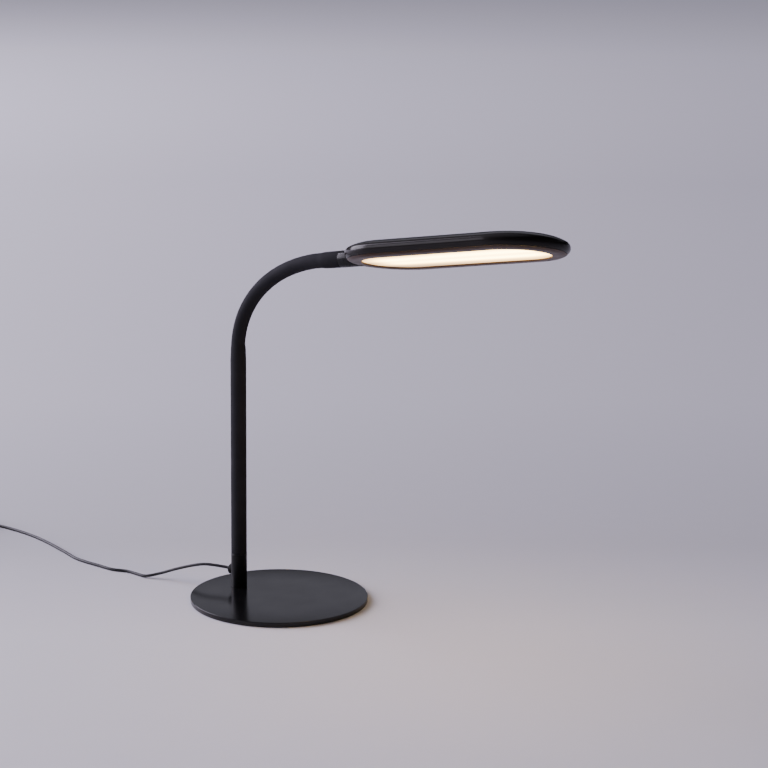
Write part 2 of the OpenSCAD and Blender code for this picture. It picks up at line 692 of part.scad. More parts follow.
foot_plate();
foot_pad();
stem_screw();
stem_dowel();
stem();
cord_grommet();
upright_tube();
inner_lead();
for (k = [0:NECK_JOINTS]) gooseneck(k);
sleeve_lower();  // sleeve_00
for (k = LINKS) sleeve(k);
sleeve_upper();
neck_collar();
swivel_clip();
swivel_bush();
head_shell();
head_bezel();
diffuser();
led_tray();
led_boards();
led_chips();
tray_screws();
driver_board();
driver_parts();
button_switch();
power_button();
cord();
cord_coil();
cord_tail();
plug_case();
plug_pins();
plug_boot();
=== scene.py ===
"""The looks of a gooseneck LED desk lamp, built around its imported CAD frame. Metres, +Z up."""
import json
import math

import bmesh
import bpy
from mathutils import Matrix, Vector


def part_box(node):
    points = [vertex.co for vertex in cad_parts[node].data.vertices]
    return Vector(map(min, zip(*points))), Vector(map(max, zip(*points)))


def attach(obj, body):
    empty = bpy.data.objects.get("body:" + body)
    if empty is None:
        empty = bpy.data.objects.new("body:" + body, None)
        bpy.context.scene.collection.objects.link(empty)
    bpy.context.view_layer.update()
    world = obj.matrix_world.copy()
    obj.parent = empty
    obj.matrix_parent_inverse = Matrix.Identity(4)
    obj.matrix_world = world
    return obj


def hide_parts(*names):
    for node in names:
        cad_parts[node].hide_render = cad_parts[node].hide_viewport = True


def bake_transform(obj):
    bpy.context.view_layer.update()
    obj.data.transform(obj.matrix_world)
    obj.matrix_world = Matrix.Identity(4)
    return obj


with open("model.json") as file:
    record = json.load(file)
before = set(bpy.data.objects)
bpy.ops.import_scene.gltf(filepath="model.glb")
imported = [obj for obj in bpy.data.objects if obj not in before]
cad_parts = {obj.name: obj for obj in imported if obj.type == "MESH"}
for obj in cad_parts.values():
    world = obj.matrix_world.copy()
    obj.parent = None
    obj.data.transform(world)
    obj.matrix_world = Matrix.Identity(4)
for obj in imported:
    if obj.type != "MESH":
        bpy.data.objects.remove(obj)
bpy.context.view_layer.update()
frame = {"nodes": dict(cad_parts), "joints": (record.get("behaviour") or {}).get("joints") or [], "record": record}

MM = 0.001
JOINTS = {j["name"]: j for j in frame["joints"]}
NODES = frame["nodes"]

# ---- places, from the frame ----

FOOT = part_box("foot_plate")
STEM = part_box("stem")
STEM_AXIS = Vector(((STEM[0].x + STEM[1].x) / 2, 0, 0))
STEM_R = (STEM[1].x - STEM[0].x) / 2
UP = Vector((0, 0, 1))

NECK_JOINTS = 11
NECK_NAMES = [f"neck_{'sway' if k % 2 else 'bend'}_{k // 2 + 1}" for k in range(NECK_JOINTS)]
NECK_AT = [Vector(JOINTS[name]["pos_m"]) for name in NECK_NAMES]
HEAD_AXIS = Vector(JOINTS["head_swivel"]["axis"])
HEAD_UP = -Vector(JOINTS["power_press"]["axis"])
HEAD_SIDE = HEAD_UP.cross(HEAD_AXIS)

# ---- sizes ----

CORD_R = 1.5 * MM
SLEEVE_R = 7.05 * MM        # at the root of the neck
SLEEVE_SWELL = 0.3 * MM     # its growth along the neck
SLEEVE_LOW_R = 7.95 * MM
SLEEVE_KNEE_R = 7.6 * MM
SLEEVE_END_R = 8.05 * MM
SLEEVE_CUFF_R = 8.25 * MM   # at the sleeve's end
SLEEVE_BORE_R = 5.5 * MM
ROOT_LINK = 7 * MM          # from the foot of the bend to the first joint
END_LINK = 16 * MM          # from the last joint to the end of the bend
TAPER_AT = -14.9 * MM       # where the sleeve starts to narrow, from the foot of the bend
TUBE_END = -2 * MM
STEP_END = 4.5 * MM
FLARE_AT = 6.67 * MM        # where the sleeve starts to widen, from the last joint
FLARE_END = 15.17 * MM
SLEEVE_OVER = 17 * MM       # the sleeve past the end of the bend
COLLAR_R = 8.35 * MM
HEAD_REACH = 150 * MM       # from the end of the bend to the head's centre
SWIVEL_AHEAD = 110 * MM     # from the swivel to the head's centre
AXIS_H = 7.9 * MM           # the neck's axis above the head's underside
HEAD_HALF = 63.7 * MM       # half the straight part of the head
SIDE_R = 5.8 * MM
SIDE_C = (47.6 * MM, 7.6 * MM)
TOP_FLAT = 30 * MM
LOW_FLAT = 44 * MM
HEAD_T = 18 * MM
SEAM_H = 2.1 * MM
SEAM_GAP = 0.22 * MM
SHELL_WALL = 1.8 * MM
WINDOW_R = 36.75 * MM
RIM_T = 1.9 * MM
DIFFUSER_RECESS = 1.4 * MM
POCKET_END = 107.7 * MM
POCKET_R = 8.55 * MM
BUTTON_AT = 87.7 * MM
BUTTON_R = 5.85 * MM
BUTTON_PROUD = 0.3 * MM
BUTTON_GAP = 0.2 * MM

HEAD_CENTRE = Vector(JOINTS["head_swivel"]["pos_m"]) + SWIVEL_AHEAD * HEAD_AXIS - AXIS_H * HEAD_UP
HEAD = Matrix((HEAD_AXIS, HEAD_SIDE, HEAD_UP)).transposed().to_4x4()
HEAD.translation = HEAD_CENTRE
NECK_END = HEAD_CENTRE + AXIS_H * HEAD_UP - HEAD_REACH * HEAD_AXIS

# ---- camera ----

FRAME_PX = 768
LENS_PX = 2500              # focal length in pixels of that frame
SENSOR_MM = 36
CLIP_END = 100
CAMERA_AT = Vector((1.4684, -1.9371, 0.7787))
CAMERA_TURN = 34.7          # degrees, from +Y towards -X
CAMERA_DOWN = 12.82         # degrees, below level
CAMERA_ROLL = 0.54          # degrees


def make_camera():
    data = bpy.data.cameras.new("camera")
    data.sensor_width = SENSOR_MM
    data.lens = LENS_PX / FRAME_PX * SENSOR_MM
    data.clip_end = CLIP_END
    turn, down, roll = (math.radians(a) for a in (CAMERA_TURN, CAMERA_DOWN, CAMERA_ROLL))
    ahead = Vector((-math.sin(turn) * math.cos(down), math.cos(turn) * math.cos(down),
                    -math.sin(down)))
    right = Vector((math.cos(turn), math.sin(turn), 0))
    up = right.cross(ahead)
    rolled_right = math.cos(roll) * right + math.sin(roll) * up
    rolled_up = -math.sin(roll) * right + math.cos(roll) * up
    camera = bpy.data.objects.new("camera", data)
    camera.matrix_world = Matrix((rolled_right, rolled_up, -ahead)).transposed().to_4x4()
    camera.matrix_world.translation = CAMERA_AT
    bpy.context.scene.collection.objects.link(camera)
    bpy.context.scene.camera = camera


make_camera()

# ---- meshes ----

SHARP = 35                  # degrees between faces from which their edge is sharp
WELD = 1e-7


def add_piece(name, verts, faces, sharp=SHARP):
    """A smooth-shaded mesh object, with sharp edges where its faces meet at more than an angle."""
    mesh = bpy.data.meshes.new(name)
    mesh.from_pydata([tuple(v) for v in verts], [], faces)
    bm = bmesh.new()
    bm.from_mesh(mesh)
    bmesh.ops.remove_doubles(bm, verts=bm.verts, dist=WELD)
    bmesh.ops.recalc_face_normals(bm, faces=bm.faces)
    bm.to_mesh(mesh)
    bm.free()
    obj = bpy.data.objects.new(name, mesh)
    bpy.context.scene.collection.objects.link(obj)
    shade(obj, sharp)
    return obj


def shade(obj, sharp=SHARP):
    """Smooths the faces, and keeps the edges between faces at more than an angle."""
    bm = bmesh.new()
    bm.from_mesh(obj.data)
    limit = math.radians(sharp)
    for face in bm.faces:
        face.smooth = True
    for edge in bm.edges:
        edge.smooth = len(edge.link_faces) == 2 and edge.calc_face_angle(0) < limit
    bm.to_mesh(obj.data)
    bm.free()


def skin(rings, closed=False):
    """Faces between rings of equal length. closed joins the last ring to the first."""
    count = len(rings[0])
    verts = [v for ring in rings for v in ring]
    faces = []
    last = len(rings) if closed else len(rings) - 1
    for i in range(last):
        a, b = i * count, (i + 1) % len(rings) * count
        for k in range(count):
            m = (k + 1) % count
            faces.append((a + k, a + m, b + m, b + k))
    return verts, faces


def frame_to(direction):
    """A rotation whose +Z is the direction."""
    z = direction.normalized()
    x = z.orthogonal().normalized()
    y = z.cross(x).normalized()
    return Matrix((y.cross(z), y, z)).transposed().to_4x4()


def full_turn(count):
    """Angles evenly spaced round a circle."""
    return [2 * math.pi * k / count for k in range(count)]


def lathe(name, profile, at, direction, segments=96, sharp=SHARP):
    """A turned piece from a profile of (radius, height), joined up if it starts off the axis."""
    place = Matrix.Translation(at) @ frame_to(direction)
    rings = [[place @ Vector((r * math.cos(a), r * math.sin(a), h)) for a in full_turn(segments)]
             for r, h in profile]
    hollow = profile[0][0] > 0
    verts, faces = skin(rings, closed=hollow)
    faces = [tuple(dict.fromkeys(f)) for f in faces]
    return add_piece(name, verts, faces, sharp)


def arc(cx, cy, r, start, end, steps):
    """Points on an arc, from one angle in degrees to another."""
    turn = [math.radians(start + (end - start) * i / steps) for i in range(steps + 1)]
    return [(cx + r * math.cos(a), cy + r * math.sin(a)) for a in turn]


def tube(name, path, radii, sides, bore=None):
    """A tube along a path of points, with a radius for each. bore makes it a pipe."""
    last = len(path) - 1
    ahead = [(path[min(i + 1, last)] - path[max(i - 1, 0)]).normalized()
             for i in range(len(path))]
    side = ahead[0].orthogonal().normalized()
    rings, bores = [], []
    for i, p in enumerate(path):
        side = (side - side.dot(ahead[i]) * ahead[i]).normalized()
        other = ahead[i].cross(side)
        spokes = [math.cos(a) * side + math.sin(a) * other for a in full_turn(sides)]
        rings.append([p + radii[i] * s for s in spokes])
        if bore:
            bores.append([p + bore * s for s in spokes])
    if bore:
        verts, faces = skin(rings + bores[::-1], closed=True)
    else:
        verts, faces = skin(rings)
        faces += [tuple(range(sides)), tuple(range(last * sides, len(path) * sides))]
    return add_piece(name, verts, faces, sharp=50)


def smooth_path(points, steps):
    """A Catmull-Rom curve through points."""
    last = len(points) - 1
    path = []
    for i in range(last):
        a, b, c, d = (points[min(max(k, 0), last)] for k in range(i - 1, i + 3))
        for j in range(steps):
            t = j / steps
            path.append(0.5 * (2 * b + t * (c - a) + t * t * (2 * a - 5 * b + 4 * c - d)
                               + t ** 3 * (3 * b - a - 3 * c + d)))
    return path + [points[last]]


# ---- cord ----

ROUTE_MM = [
    (-55.9, 0, 22.2), (-63.5, 0, 22.2), (-67.5, -0.2, 22.6), (-72, -1, 22.7), (-80, -3, 23),
    (-93, -6, 22.6), (-107, -9, 19.2), (-126, -13, 12.8), (-143, -16, 6.1), (-157, -22.7, 2.2),
    (-170, -21.4, 1.6), (-186, -19.9, 1.6), (-202, -24.5, 1.6), (-222, -22.4, 1.6),
    (-241, -20.7, 1.6), (-261, -16.6, 1.6), (-281, -7.9, 1.6), (-300, -0.1, 1.6), (-318, 7, 1.6),
    (-338, 14, 1.6), (-360, 20, 1.6), (-382, 24, 1.6), (-404, 26, 1.6), (-420, 25.4, 1.6),
    (-434.6, 25, 1.6)]
TAIL_MM = [
    (-467, -7.5, 11), (-467, -12, 11.6), (-467, -18, 13.2), (-467, -24, 14), (-467, -37, 14),
    (-467, -50, 14)]
WIND_CENTRE = Vector((-446 * MM, 4 * MM, 0))
WIND_R = 17.7 * MM          # radius at the middle of the turns
WIND_PITCH = 3.1 * MM
WIND_COLUMNS = 3
WIND_LAYERS = 4
WIND_START = 90             # degrees
WIND_SHIFT = 0.25           # the share of a turn in which it moves to the next turn's place
TURN_STEPS = 36
CORD_SIDES = 16
RUN_STEPS = 3               # between the points of the route
TAIL_STEPS = 4


def wound_cord():
    """The coil's turns, layer by layer: inwards along one, outwards along the next."""
    turns = WIND_COLUMNS * WIND_LAYERS
    swept = 360 * turns + 180 - WIND_START
    count = round(swept / 360 * TURN_STEPS)
    points = []
    for i in range(1, count):
        place = turns * i / count
        index = min(int(place), turns - 1)
        share = smoothstep((place - index - 1 + WIND_SHIFT) / WIND_SHIFT)
        here, then = wind_slot(index), wind_slot(min(index + 1, turns - 1))
        r = here[0] + (then[0] - here[0]) * share
        z = here[1] + (then[1] - here[1]) * share
        a = math.radians(WIND_START + swept * i / count)
        points.append(WIND_CENTRE + Vector((r * math.cos(a), r * math.sin(a), z)))
    return points


def wind_slot(index):
    """Radius and height of one turn."""
    layer, place = divmod(index, WIND_COLUMNS)
    column = place if layer % 2 == 0 else WIND_COLUMNS - 1 - place
    r = WIND_R + ((WIND_COLUMNS - 1) / 2 - column) * WIND_PITCH
    return r, (layer + 0.5) * WIND_PITCH


def smoothstep(t):
    """A smooth share from 0 to 1, held at both ends."""
    t = min(max(t, 0), 1)
    return t * t * (3 - 2 * t)


def make_cord():
    run = smooth_path([Vector(p) * MM for p in ROUTE_MM], RUN_STEPS)
    tail = smooth_path([Vector(p) * MM for p in TAIL_MM], TAIL_STEPS)
    path = run + wound_cord() + tail
    return tube("power_cord", path, [CORD_R] * len(path), CORD_SIDES), path


cord, cord_path = make_cord()

# ---- materials ----


class Look:
    """A procedural material: one Principled shader, with helpers that feed its sockets."""

    def __init__(self, name, **sockets):
        self.name = name
        self.mat = bpy.data.materials.new(name)
        self.mat.use_nodes = True
        self.nodes = self.mat.node_tree.nodes
        self.links = self.mat.node_tree.links
        self.shader = self.nodes["Principled BSDF"]
        self.coords = self.add("ShaderNodeTexCoord").outputs["Object"]
        for socket, value in sockets.items():
            self.shader.inputs[socket.replace("_", " ")].default_value = value

    def add(self, kind, **settings):
        node = self.nodes.new(kind)
        for key, value in settings.items():
            if key in node.inputs:
                node.inputs[key].default_value = value
            else:
                setattr(node, key, value)
        return node

    def stretched(self, x, y, z):
        """The surface's own coordinates, with each axis scaled."""
        mapping = self.add("ShaderNodeMapping", Scale=(x, y, z))
        self.links.new(self.coords, mapping.inputs["Vector"])
        return mapping.outputs["Vector"]

    def noise(self, scale, detail=3, rough=0.5, coords=None):
        node = self.add("ShaderNodeTexNoise", Scale=scale, Detail=detail, Roughness=rough)
        self.links.new(coords or self.coords, node.inputs["Vector"])
        return node.outputs["Fac"]

    def colours(self, factor, stops):
        """Feeds the base colour from a ramp of (position, colour)."""
        ramp = self.ramp(factor, stops)
        self.links.new(ramp, self.shader.inputs["Base Color"])

    def ramp(self, factor, stops):
        node = self.add("ShaderNodeValToRGB")
        elements = node.color_ramp.elements
        while len(elements) < len(stops):
            elements.new(0.5)
        for element, (position, colour) in zip(elements, stops):
            element.position = position
            element.color = (*colour, 1)
        self.links.new(factor, node.inputs["Fac"])
        return node.outputs["Color"]

    def math(self, operation, *values):
        node = self.add("ShaderNodeMath", operation=operation)
        for socket, value in zip(node.inputs, values):
            if isinstance(value, (int, float)):
                socket.default_value = value
            else:
                self.links.new(value, socket)
        return node.outputs["Value"]

    def spread(self, factor, low, high, start=0.3, end=0.7):
        node = self.add("ShaderNodeMapRange")
        set_range(node, start, end, low, high)
        self.links.new(factor, node.inputs["Value"])
        return node.outputs["Result"]

    def roughness(self, factor, low, high):
        self.links.new(self.spread(factor, low, high), self.shader.inputs["Roughness"])

    def bump(self, height, depth):
        node = self.add("ShaderNodeBump", Strength=1.0, Distance=depth)
        self.links.new(height, node.inputs["Height"])
        self.links.new(node.outputs["Normal"], self.shader.inputs["Normal"])


def set_range(node, start, end, low, high):
    """Sets the four ends of a Map Range node."""
    for key, value in zip(("From Min", "From Max", "To Min", "To Max"), (start, end, low, high)):
        node.inputs[key].default_value = value


def shades(colour, spread):
    """A darker and a lighter neighbour of a colour, as the two ends of a ramp."""
    dark = tuple(c * (1 - spread) for c in colour)
    light = tuple(min(c * (1 + spread), 1) for c in colour)
    return [(0.35, dark), (0.65, light)]


def plain_look(name, colour, spread, rough, drift, grain, depth, **sockets):
    """A surface whose colour and gloss drift slowly, under a fine grain.

    spread is the colour's share of change and rough the range of roughness. drift and grain are
    the scales of their noises, and depth is the grain's, in metres.
    """
    look = Look(name, **sockets)
    slow = look.noise(drift, detail=4)
    look.colours(slow, shades(colour, spread))
    look.roughness(look.noise(drift * 3, detail=5, rough=0.6), *rough)
    look.bump(look.noise(grain, detail=2), depth)
    return look


def make_looks():
    looks = [
        plain_look(
            "foot_paint", (0.004, 0.004, 0.0045), 0.1, (0.17, 0.21), 14, 1800, 0.000003,
            Specular_IOR_Level=0.3),
        plain_look(
            "pad_rubber", (0.02, 0.02, 0.02), 0.2, (0.8, 0.95), 60, 1500, 0.0001),
        plain_look(
            "stem_gloss", (0.007, 0.007, 0.0074), 0.1, (0.3, 0.36), 40, 900, 0.000004,
            Specular_IOR_Level=0.16),
        plain_look(
            "collar_gloss", (0.007, 0.007, 0.0075), 0.1, (0.24, 0.3), 60, 900, 0.000004,
            Specular_IOR_Level=0.15),
        plain_look(
            "shell_gloss", (0.014, 0.0125, 0.0115), 0.1, (0.17, 0.21), 25, 700, 0.000002,
            Specular_IOR_Level=0.14),
        # The bezel is dark. Its warm brown colour and warm specular tint are painted light: the panel's warm glow
        # on it.
        plain_look(
            "bezel_satin", (0.042, 0.022, 0.013), 0.08, (0.35, 0.45), 40, 2500, 0.00002,
            Specular_IOR_Level=0.3, Specular_Tint=(1, 0.8, 0.72, 1)),
        sleeve_look(),
        plain_look(
            "grommet_rubber", (0.003, 0.003, 0.003), 0.2, (0.5, 0.6), 200, 3000, 0.00003,
            Specular_IOR_Level=0.1),
        plain_look(
            "cord_vinyl", (0.006, 0.006, 0.007), 0.2, (0.4, 0.5), 120, 2500, 0.00003,
            Specular_IOR_Level=0.3),
        plain_look(
            "plug_plastic", (0.02, 0.02, 0.021), 0.15, (0.45, 0.6), 80, 1800, 0.00006),
        plain_look(
            "parts_black", (0.02, 0.02, 0.022), 0.2, (0.25, 0.4), 150, 2500, 0.00003),
        plain_look(
            "button_black", (0.012, 0.012, 0.012), 0.1, (0.2, 0.28), 150, 2500, 0.00001),
        plain_look(
            "tray_white", (0.75, 0.75, 0.73), 0.04, (0.5, 0.65), 60, 1500, 0.00004),
        plain_look(
            "bush_plastic", (0.6, 0.58, 0.52), 0.06, (0.4, 0.55), 200, 2500, 0.00003),
        plain_look(
            "board_white", (0.8, 0.8, 0.77), 0.04, (0.3, 0.45), 120, 2500, 0.00003),
        plain_look(
            "board_green", (0.01, 0.08, 0.03), 0.15, (0.3, 0.45), 250, 2500, 0.00003),
        steel_look("fastener_steel", (0.5, 0.5, 0.51), 4000),
        steel_look("tube_steel", (0.36, 0.36, 0.37), 2500),
        steel_look("pin_metal", (0.6, 0.6, 0.61), 4000),
        chip_look(),
        diffuser_look(),
    ]
    return {look.name: look for look in looks}


def sleeve_look():
    """Matte rubber under a little dust."""
    look = Look("sleeve_rubber", Specular_IOR_Level=0.04)
    look.colours(look.noise(35, detail=5), shades((0.023, 0.0227, 0.0255), 0.12))
    look.roughness(look.noise(160, detail=4), 0.7, 0.8)
    look.bump(look.noise(2400, detail=3), 0.00004)
    return look


def steel_look(name, colour, grain):
    """Bright steel with fine lines round it."""
    look = Look(name, Metallic=1.0)
    look.colours(look.noise(120, detail=4), shades(colour, 0.08))
    lines = look.noise(grain, detail=2, coords=look.stretched(0.15, 0.15, 1))
    look.roughness(lines, 0.22, 0.38)
    look.bump(lines, 0.00001)
    return look


def chip_look():
    """A light chip, glowing faintly."""
    look = Look("chip_yellow", Emission_Color=(1, 0.8, 0.5, 1), Emission_Strength=1.0)
    look.colours(look.noise(900), shades((0.8, 0.62, 0.15), 0.1))
    look.roughness(look.noise(400), 0.2, 0.35)
    return look


PANEL_GLOW = 19             # strength, in the streaks
BETWEEN_STREAKS = 0.65      # its share between them
STREAK_PITCH = 25 * MM
GLOW_FADE = 25 * MM         # the panel is dimmer and warmer this near its rim
END_SHARE = 0.6             # what a squared distance past the straight part counts for
SIDE_GAIN = 0.33            # how much later the fade comes on the side at -Y
FAR_GAIN = 0.06             # and towards the end at +X
GLOW_COLOURS = [
    (0.0, (0.06, 0.034, 0.011)), (0.15, (0.12, 0.07, 0.022)), (0.36, (0.24, 0.137, 0.04)),
    (0.55, (0.4, 0.24, 0.07)), (0.72, (0.65, 0.41, 0.12)), (1.0, (1.0, 0.66, 0.23))]


def diffuser_look():
    """Opal panel, lit: it has two faint streaks, and gets dimmer and warmer towards its rim."""
    look = Look("diffuser_opal", Emission_Strength=PANEL_GLOW, Roughness=0.35)
    split = look.add("ShaderNodeSeparateXYZ")
    look.links.new(look.coords, split.inputs["Vector"])
    across = split.outputs["Y"]
    past_end = look.math("SUBTRACT", look.math("ABSOLUTE", split.outputs["X"]), HEAD_HALF)
    past_end = look.math("MAXIMUM", past_end, 0)
    along = look.math("MULTIPLY", past_end, look.math("MULTIPLY", past_end, END_SHARE))
    squares = look.math("ADD", along, look.math("MULTIPLY", across, across))
    inside = look.math("SUBTRACT", WINDOW_R, look.math("SQRT", squares))
    near = look.math("MAXIMUM", look.math("MULTIPLY", across, -SIDE_GAIN), 0)
    far = look.math("MULTIPLY", split.outputs["X"], FAR_GAIN)
    level = look.spread(look.math("ADD", look.math("ADD", inside, near), far), 0, 1, 0, GLOW_FADE)
    glow = look.ramp(level, GLOW_COLOURS)
    wave = look.math("COSINE", look.math("MULTIPLY", across, 2 * math.pi / STREAK_PITCH))
    strength = look.spread(wave, PANEL_GLOW, BETWEEN_STREAKS * PANEL_GLOW, -1, 1)
    look.links.new(glow, look.shader.inputs["Emission Color"])
    look.links.new(strength, look.shader.inputs["Emission Strength"])
    look.colours(look.noise(30), shades((0.85, 0.8, 0.72), 0.03))
    return look


LOOKS = make_looks()


def dress(obj, slot, body=None, replaces=()):
    """Gives a piece its material, its body and the nodes that it stands for."""
    obj.data.materials.clear()
    obj.data.materials.append(LOOKS[slot].mat)
    if body:
        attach(obj, body)
    if replaces:
        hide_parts(*replaces)


# Every CAD node takes the look of its slot. Those that a piece replaces are hidden below.
for part in frame["record"]["subparts"]:
    node = NODES[part["node"]]
    for place in node.material_slots:
        place.material = LOOKS[part["material_slot"]].mat

# ---- foot and stem ----

EDGE_R = 0.4 * MM           # of the foot
PAD_INSET = 4.9 * MM        # from the foot's edge to the recess that holds the pad
PAD_RECESS = 1.2 * MM       # its depth, from the floor
STEM_LOW_EDGE = 0.25 * MM
STEM_TOP_EDGE = 0.3 * MM
GROOVE_DOWN = 1.1 * MM      # from the stem's top to the middle of its groove
GROOVE_DEPTH = 0.3 * MM
GROOVE_HALF = 0.35 * MM     # half its width, at the surface
GROOVE_FLOOR = 0.1 * MM     # and at its floor
GROMMET_DEEP = 2.4 * MM     # its root, under the stem's surface
GROMMET_EDGE = 0.9 * MM
MOUTH_R = 2.6 * MM          # of the grommet's recess round the cord
MOUTH_FLOOR_R = 2.4 * MM
MOUTH_DEPTH = 0.3 * MM
CORD_GAP = 0.1 * MM


def make_foot():
    r = (FOOT[1].x - FOOT[0].x) / 2
    low, high = FOOT[0].z, FOOT[1].z
    profile = [(0, high), (r * 0.5, high)]
    profile += arc(r - EDGE_R, high - EDGE_R, EDGE_R, 90, 0, 8)
    profile += arc(r - EDGE_R, low + EDGE_R, EDGE_R, 0, -90, 8)
    profile += [(r - PAD_INSET, low), (r - PAD_INSET, PAD_RECESS), (0, PAD_RECESS)]
    foot = lathe("foot_plate_painted", profile, Vector((0, 0, 0)), UP, segments=256)
    dress(foot, "foot_paint", "base", ["foot_plate"])


def make_stem():
    low, high = STEM[0].z, STEM[1].z
    profile = [(0, low), (STEM_R - STEM_LOW_EDGE, low)]
    profile += arc(STEM_R - STEM_LOW_EDGE, low + STEM_LOW_EDGE, STEM_LOW_EDGE, -90, 0, 5)
    groove, floor_r = high - GROOVE_DOWN, STEM_R - GROOVE_DEPTH
    profile += [(STEM_R, groove - GROOVE_HALF), (floor_r, groove - GROOVE_FLOOR),
                (floor_r, groove + GROOVE_FLOOR), (STEM_R, groove + GROOVE_HALF)]
    profile += arc(STEM_R - STEM_TOP_EDGE, high - STEM_TOP_EDGE, STEM_TOP_EDGE, 0, 90, 5)
    profile += [(0, high)]
    stem = lathe("stem_turned", profile, STEM_AXIS, UP, segments=128, sharp=30)
    dress(stem, "stem_gloss", "base", ["stem"])


def make_grommet():
    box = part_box("cord_grommet")
    r = (box[1].y - box[0].y) / 2
    at = Vector((STEM_AXIS.x, 0, (box[0].z + box[1].z) / 2))
    face = at.x - box[0].x
    bore = CORD_R + CORD_GAP
    root, floor = STEM_R - GROMMET_DEEP, face - MOUTH_DEPTH
    profile = [(bore, root), (r, root), (r, face - GROMMET_EDGE)]
    profile += arc(r - GROMMET_EDGE, face - GROMMET_EDGE, GROMMET_EDGE, 10, 90, 6)
    profile += [(MOUTH_R, face), (MOUTH_FLOOR_R, floor), (bore, floor)]
    grommet = lathe("cord_grommet_moulded", profile, at, Vector((-1, 0, 0)), segments=64)
    dress(grommet, "grommet_rubber", "base", ["cord_grommet"])


make_foot()
make_stem()
make_grommet()

# ---- sleeve ----

BEND_RINGS = 14
STRAIGHT_RINGS = 20
TAPER_RINGS = 24
FLARE_RINGS = 12
SLEEVE_SIDES = 56
SLEEVE_EDGE = 0.3 * MM
CUFF_BORE_R = 6.5 * MM      # the recess that takes the collar's spigot
CUFF_DEPTH = 2 * MM


def neck_direction(k):
    """Direction of neck piece k, from 0 on the upright to the one that holds the collar."""
    if k == 0:
        return UP
    if k == NECK_JOINTS:
        return HEAD_AXIS
    return (NECK_AT[k] - NECK_AT[k - 1]).normalized()


def neck_radius(k):
    """The sleeve's radius at the middle of neck piece k."""
    return SLEEVE_R + SLEEVE_SWELL * k / NECK_JOINTS


def sleeve_bend(j):
    """The sleeve over joint j, from the middle of one link to the middle of the next."""
    joint = NECK_AT[j]
    back = ROOT_LINK - STEP_END if j == 0 else (joint - NECK_AT[j - 1]).length / 2
    on = FLARE_AT if j == NECK_JOINTS - 1 else (NECK_AT[j + 1] - joint).length / 2
    start = joint - back * neck_direction(j)
    end = joint + on * neck_direction(j + 1)
    low_r, high_r = neck_radius(j), neck_radius(j + 1)
    path, radii = [], []
    for i in range(BEND_RINGS + 1):
        t = i / BEND_RINGS
        path.append((1 - t) ** 2 * start + 2 * t * (1 - t) * joint + t * t * end)
        radii.append(low_r + (high_r - low_r) * i / BEND_RINGS)
    piece = tube(f"sleeve_bend_{j:02d}", path, radii, SLEEVE_SIDES, SLEEVE_BORE_R)
    dress(piece, "sleeve_rubber", replaces=[f"sleeve_{j:02d}"] if j else [])
    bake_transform(piece)


def sleeve_straight():
    """The sleeve on the upright: it tapers, then steps down to the bend."""
    bend_z = NECK_AT[0].z - ROOT_LINK
    low = STEM[1].z
    straight = bend_z + TAPER_AT - low
    edge = SLEEVE_EDGE
    profile = [(SLEEVE_BORE_R, low), (SLEEVE_LOW_R - edge, low)]
    profile += arc(SLEEVE_LOW_R - edge, low + edge, edge, -90, 0, 4)
    profile += [(SLEEVE_LOW_R, low + straight * i / STRAIGHT_RINGS)
                for i in range(1, STRAIGHT_RINGS)]
    for i in range(TAPER_RINGS + 1):
        h = TAPER_AT + (STEP_END - TAPER_AT) * i / TAPER_RINGS
        taper = smoothstep((h - TAPER_AT) / (TUBE_END - TAPER_AT))
        step = smoothstep((h - TUBE_END) / (STEP_END - TUBE_END))
        r = SLEEVE_LOW_R + (SLEEVE_KNEE_R - SLEEVE_LOW_R) * taper
        profile.append((r + (SLEEVE_R - SLEEVE_KNEE_R) * step, bend_z + h))
    profile += [(SLEEVE_BORE_R, bend_z + STEP_END)]
    lower = lathe("sleeve_straight", profile, STEM_AXIS, UP, segments=2 * SLEEVE_SIDES)
    dress(lower, "sleeve_rubber", "base", ["sleeve_00"])


def sleeve_flare():
    """The sleeve from the last joint to the collar, widening."""
    length = END_LINK + SLEEVE_OVER
    narrow = neck_radius(NECK_JOINTS)
    edge = SLEEVE_EDGE
    profile = [(SLEEVE_BORE_R, FLARE_AT)]
    for i in range(FLARE_RINGS + 1):
        t = i / FLARE_RINGS
        profile.append((narrow + (SLEEVE_END_R - narrow) * smoothstep(t),
                        FLARE_AT + (FLARE_END - FLARE_AT) * t))
    profile += arc(SLEEVE_CUFF_R - edge, length - edge, edge, 0, 90, 4)
    profile += [(CUFF_BORE_R, length), (CUFF_BORE_R, length - CUFF_DEPTH),
                (SLEEVE_BORE_R, length - CUFF_DEPTH)]
    upper = lathe("sleeve_flare", profile, NECK_AT[-1], HEAD_AXIS, segments=SLEEVE_SIDES)
    dress(upper, "sleeve_rubber", "neck_end", ["sleeve_11"])


sleeve_straight()
for joint_index in range(NECK_JOINTS):
    sleeve_bend(joint_index)
sleeve_flare()

# ---- collar ----

COLLAR_EDGE = 0.3 * MM
COLLAR_GAP = 0.1 * MM       # from the sleeve's end
SWIVEL_GAP = 0.2 * MM       # from the head's pocket
COLLAR_BORE_R = 2.5 * MM
SPIGOT_R = 6.1 * MM         # inside the sleeve
SPIGOT_LOW = -6 * MM
NOSE_R = 3.8 * MM           # in the head
NOSE_L = 5 * MM


